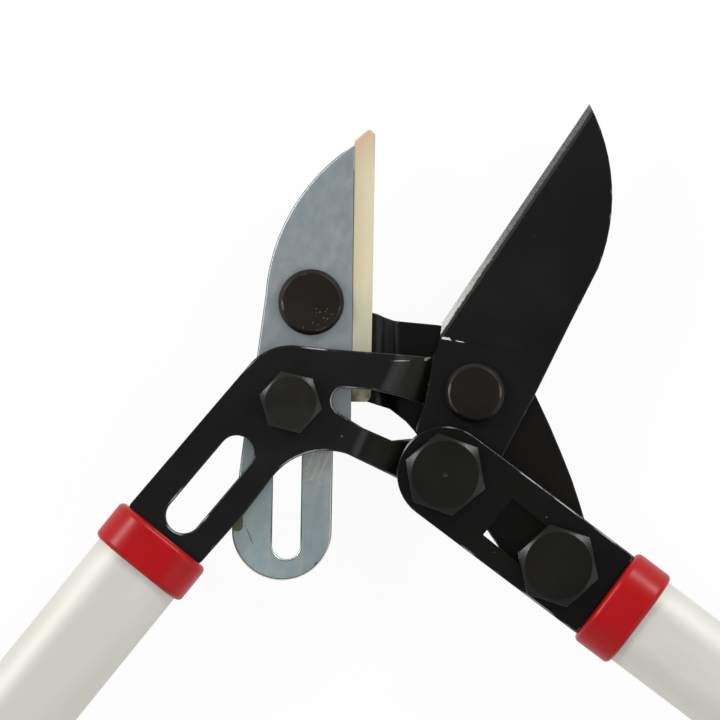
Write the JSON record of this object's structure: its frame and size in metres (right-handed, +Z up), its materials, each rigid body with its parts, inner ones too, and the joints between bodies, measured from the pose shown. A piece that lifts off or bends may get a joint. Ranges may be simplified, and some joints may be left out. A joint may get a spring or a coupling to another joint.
{
  "type": "anvil lopper",
  "caption": "Two-handed anvil lopper with a draw-cut anvil that slides on a guide bolt, a lever drive between the handles, and oval tube handles with soft grips.",
  "frame": {"origin": "on the lever pivot pin's axis, at the face of its back head that the tool lies on", "axes": "+Z up, out of the tool's front face; +Y towards the blade tip; +X to the right, across the spread of the open handles"},
  "size_m": [0.9318, 0.5495, 0.0382],
  "materials": {
    "blade_coating": "black non-stick coating, satin",
    "lever_coating": "black powder coat, satin",
    "black_fastener": "black oxide, worn",
    "plated_steel": "zinc plated",
    "zinc_plate": "zinc plated sheet, clear passivated",
    "cream_insert": "moulded nylon, cream",
    "olive_pad": "moulded nylon, olive",
    "red_plastic": "moulded, semi-gloss red",
    "tube_aluminium": "satin anodised",
    "sleeve_plastic": "moulded black",
    "grip_rubber": "soft black grip"
  },
  "bodies": {
    "left_handle": {"blade": "blade_coating", "left_plate": "lever_coating", "lever_pivot_pin": "black_fastener", "lever_pivot_back_head": "black_fastener", "handle_pivot_bolt": "black_fastener", "guide_bolt": "black_fastener", "guide_washer": "plated_steel", "guide_nut": "plated_steel", "glide_pad": "olive_pad", "left_collar": "red_plastic", "left_tube": "tube_aluminium", "left_tang_sleeve": "sleeve_plastic", "left_tang_rivets": "tube_aluminium", "left_grip": "grip_rubber", "left_end_cap": "red_plastic"},
    "right_handle": {"right_plate": "lever_coating", "right_collar": "red_plastic", "right_tube": "tube_aluminium", "right_tang_sleeve": "sleeve_plastic", "right_tang_rivets": "tube_aluminium", "right_grip": "grip_rubber", "right_end_cap": "red_plastic"},
    "lever": {"anvil_lever": "lever_coating", "anvil_pivot_rivet": "black_fastener", "drive_bolt": "black_fastener", "drive_spacer": "plated_steel", "drive_nut": "plated_steel"},
    "anvil": {"anvil_plate": "zinc_plate", "anvil_insert": "cream_insert"}
  },
  "joints": [
    {"name": "handle_close", "type": "hinge", "parent": "left_handle", "child": "right_handle", "pos_m": [-0.007, -0.0189, 0.0191], "axis": [0, 0, -1], "range_deg": [0, 77.6]},
    {"name": "lever_turn", "type": "hinge", "parent": "left_handle", "child": "lever", "pos_m": [0, 0, 0.0051], "axis": [0, 0, -1], "range_deg": [0, 51.42]},
    {"name": "anvil_swing", "type": "hinge", "parent": "lever", "child": "anvil", "pos_m": [-0.0382, 0.0212, 0.0142], "axis": [0, 0, 1], "range_deg": [0, 18.42]}
  ],
  "couplings": [
    {"joint": "lever_turn", "follows": "handle_close", "ratio": 0.66263},
    {"joint": "anvil_swing", "follows": "handle_close", "ratio": 0.23737}
  ]
}
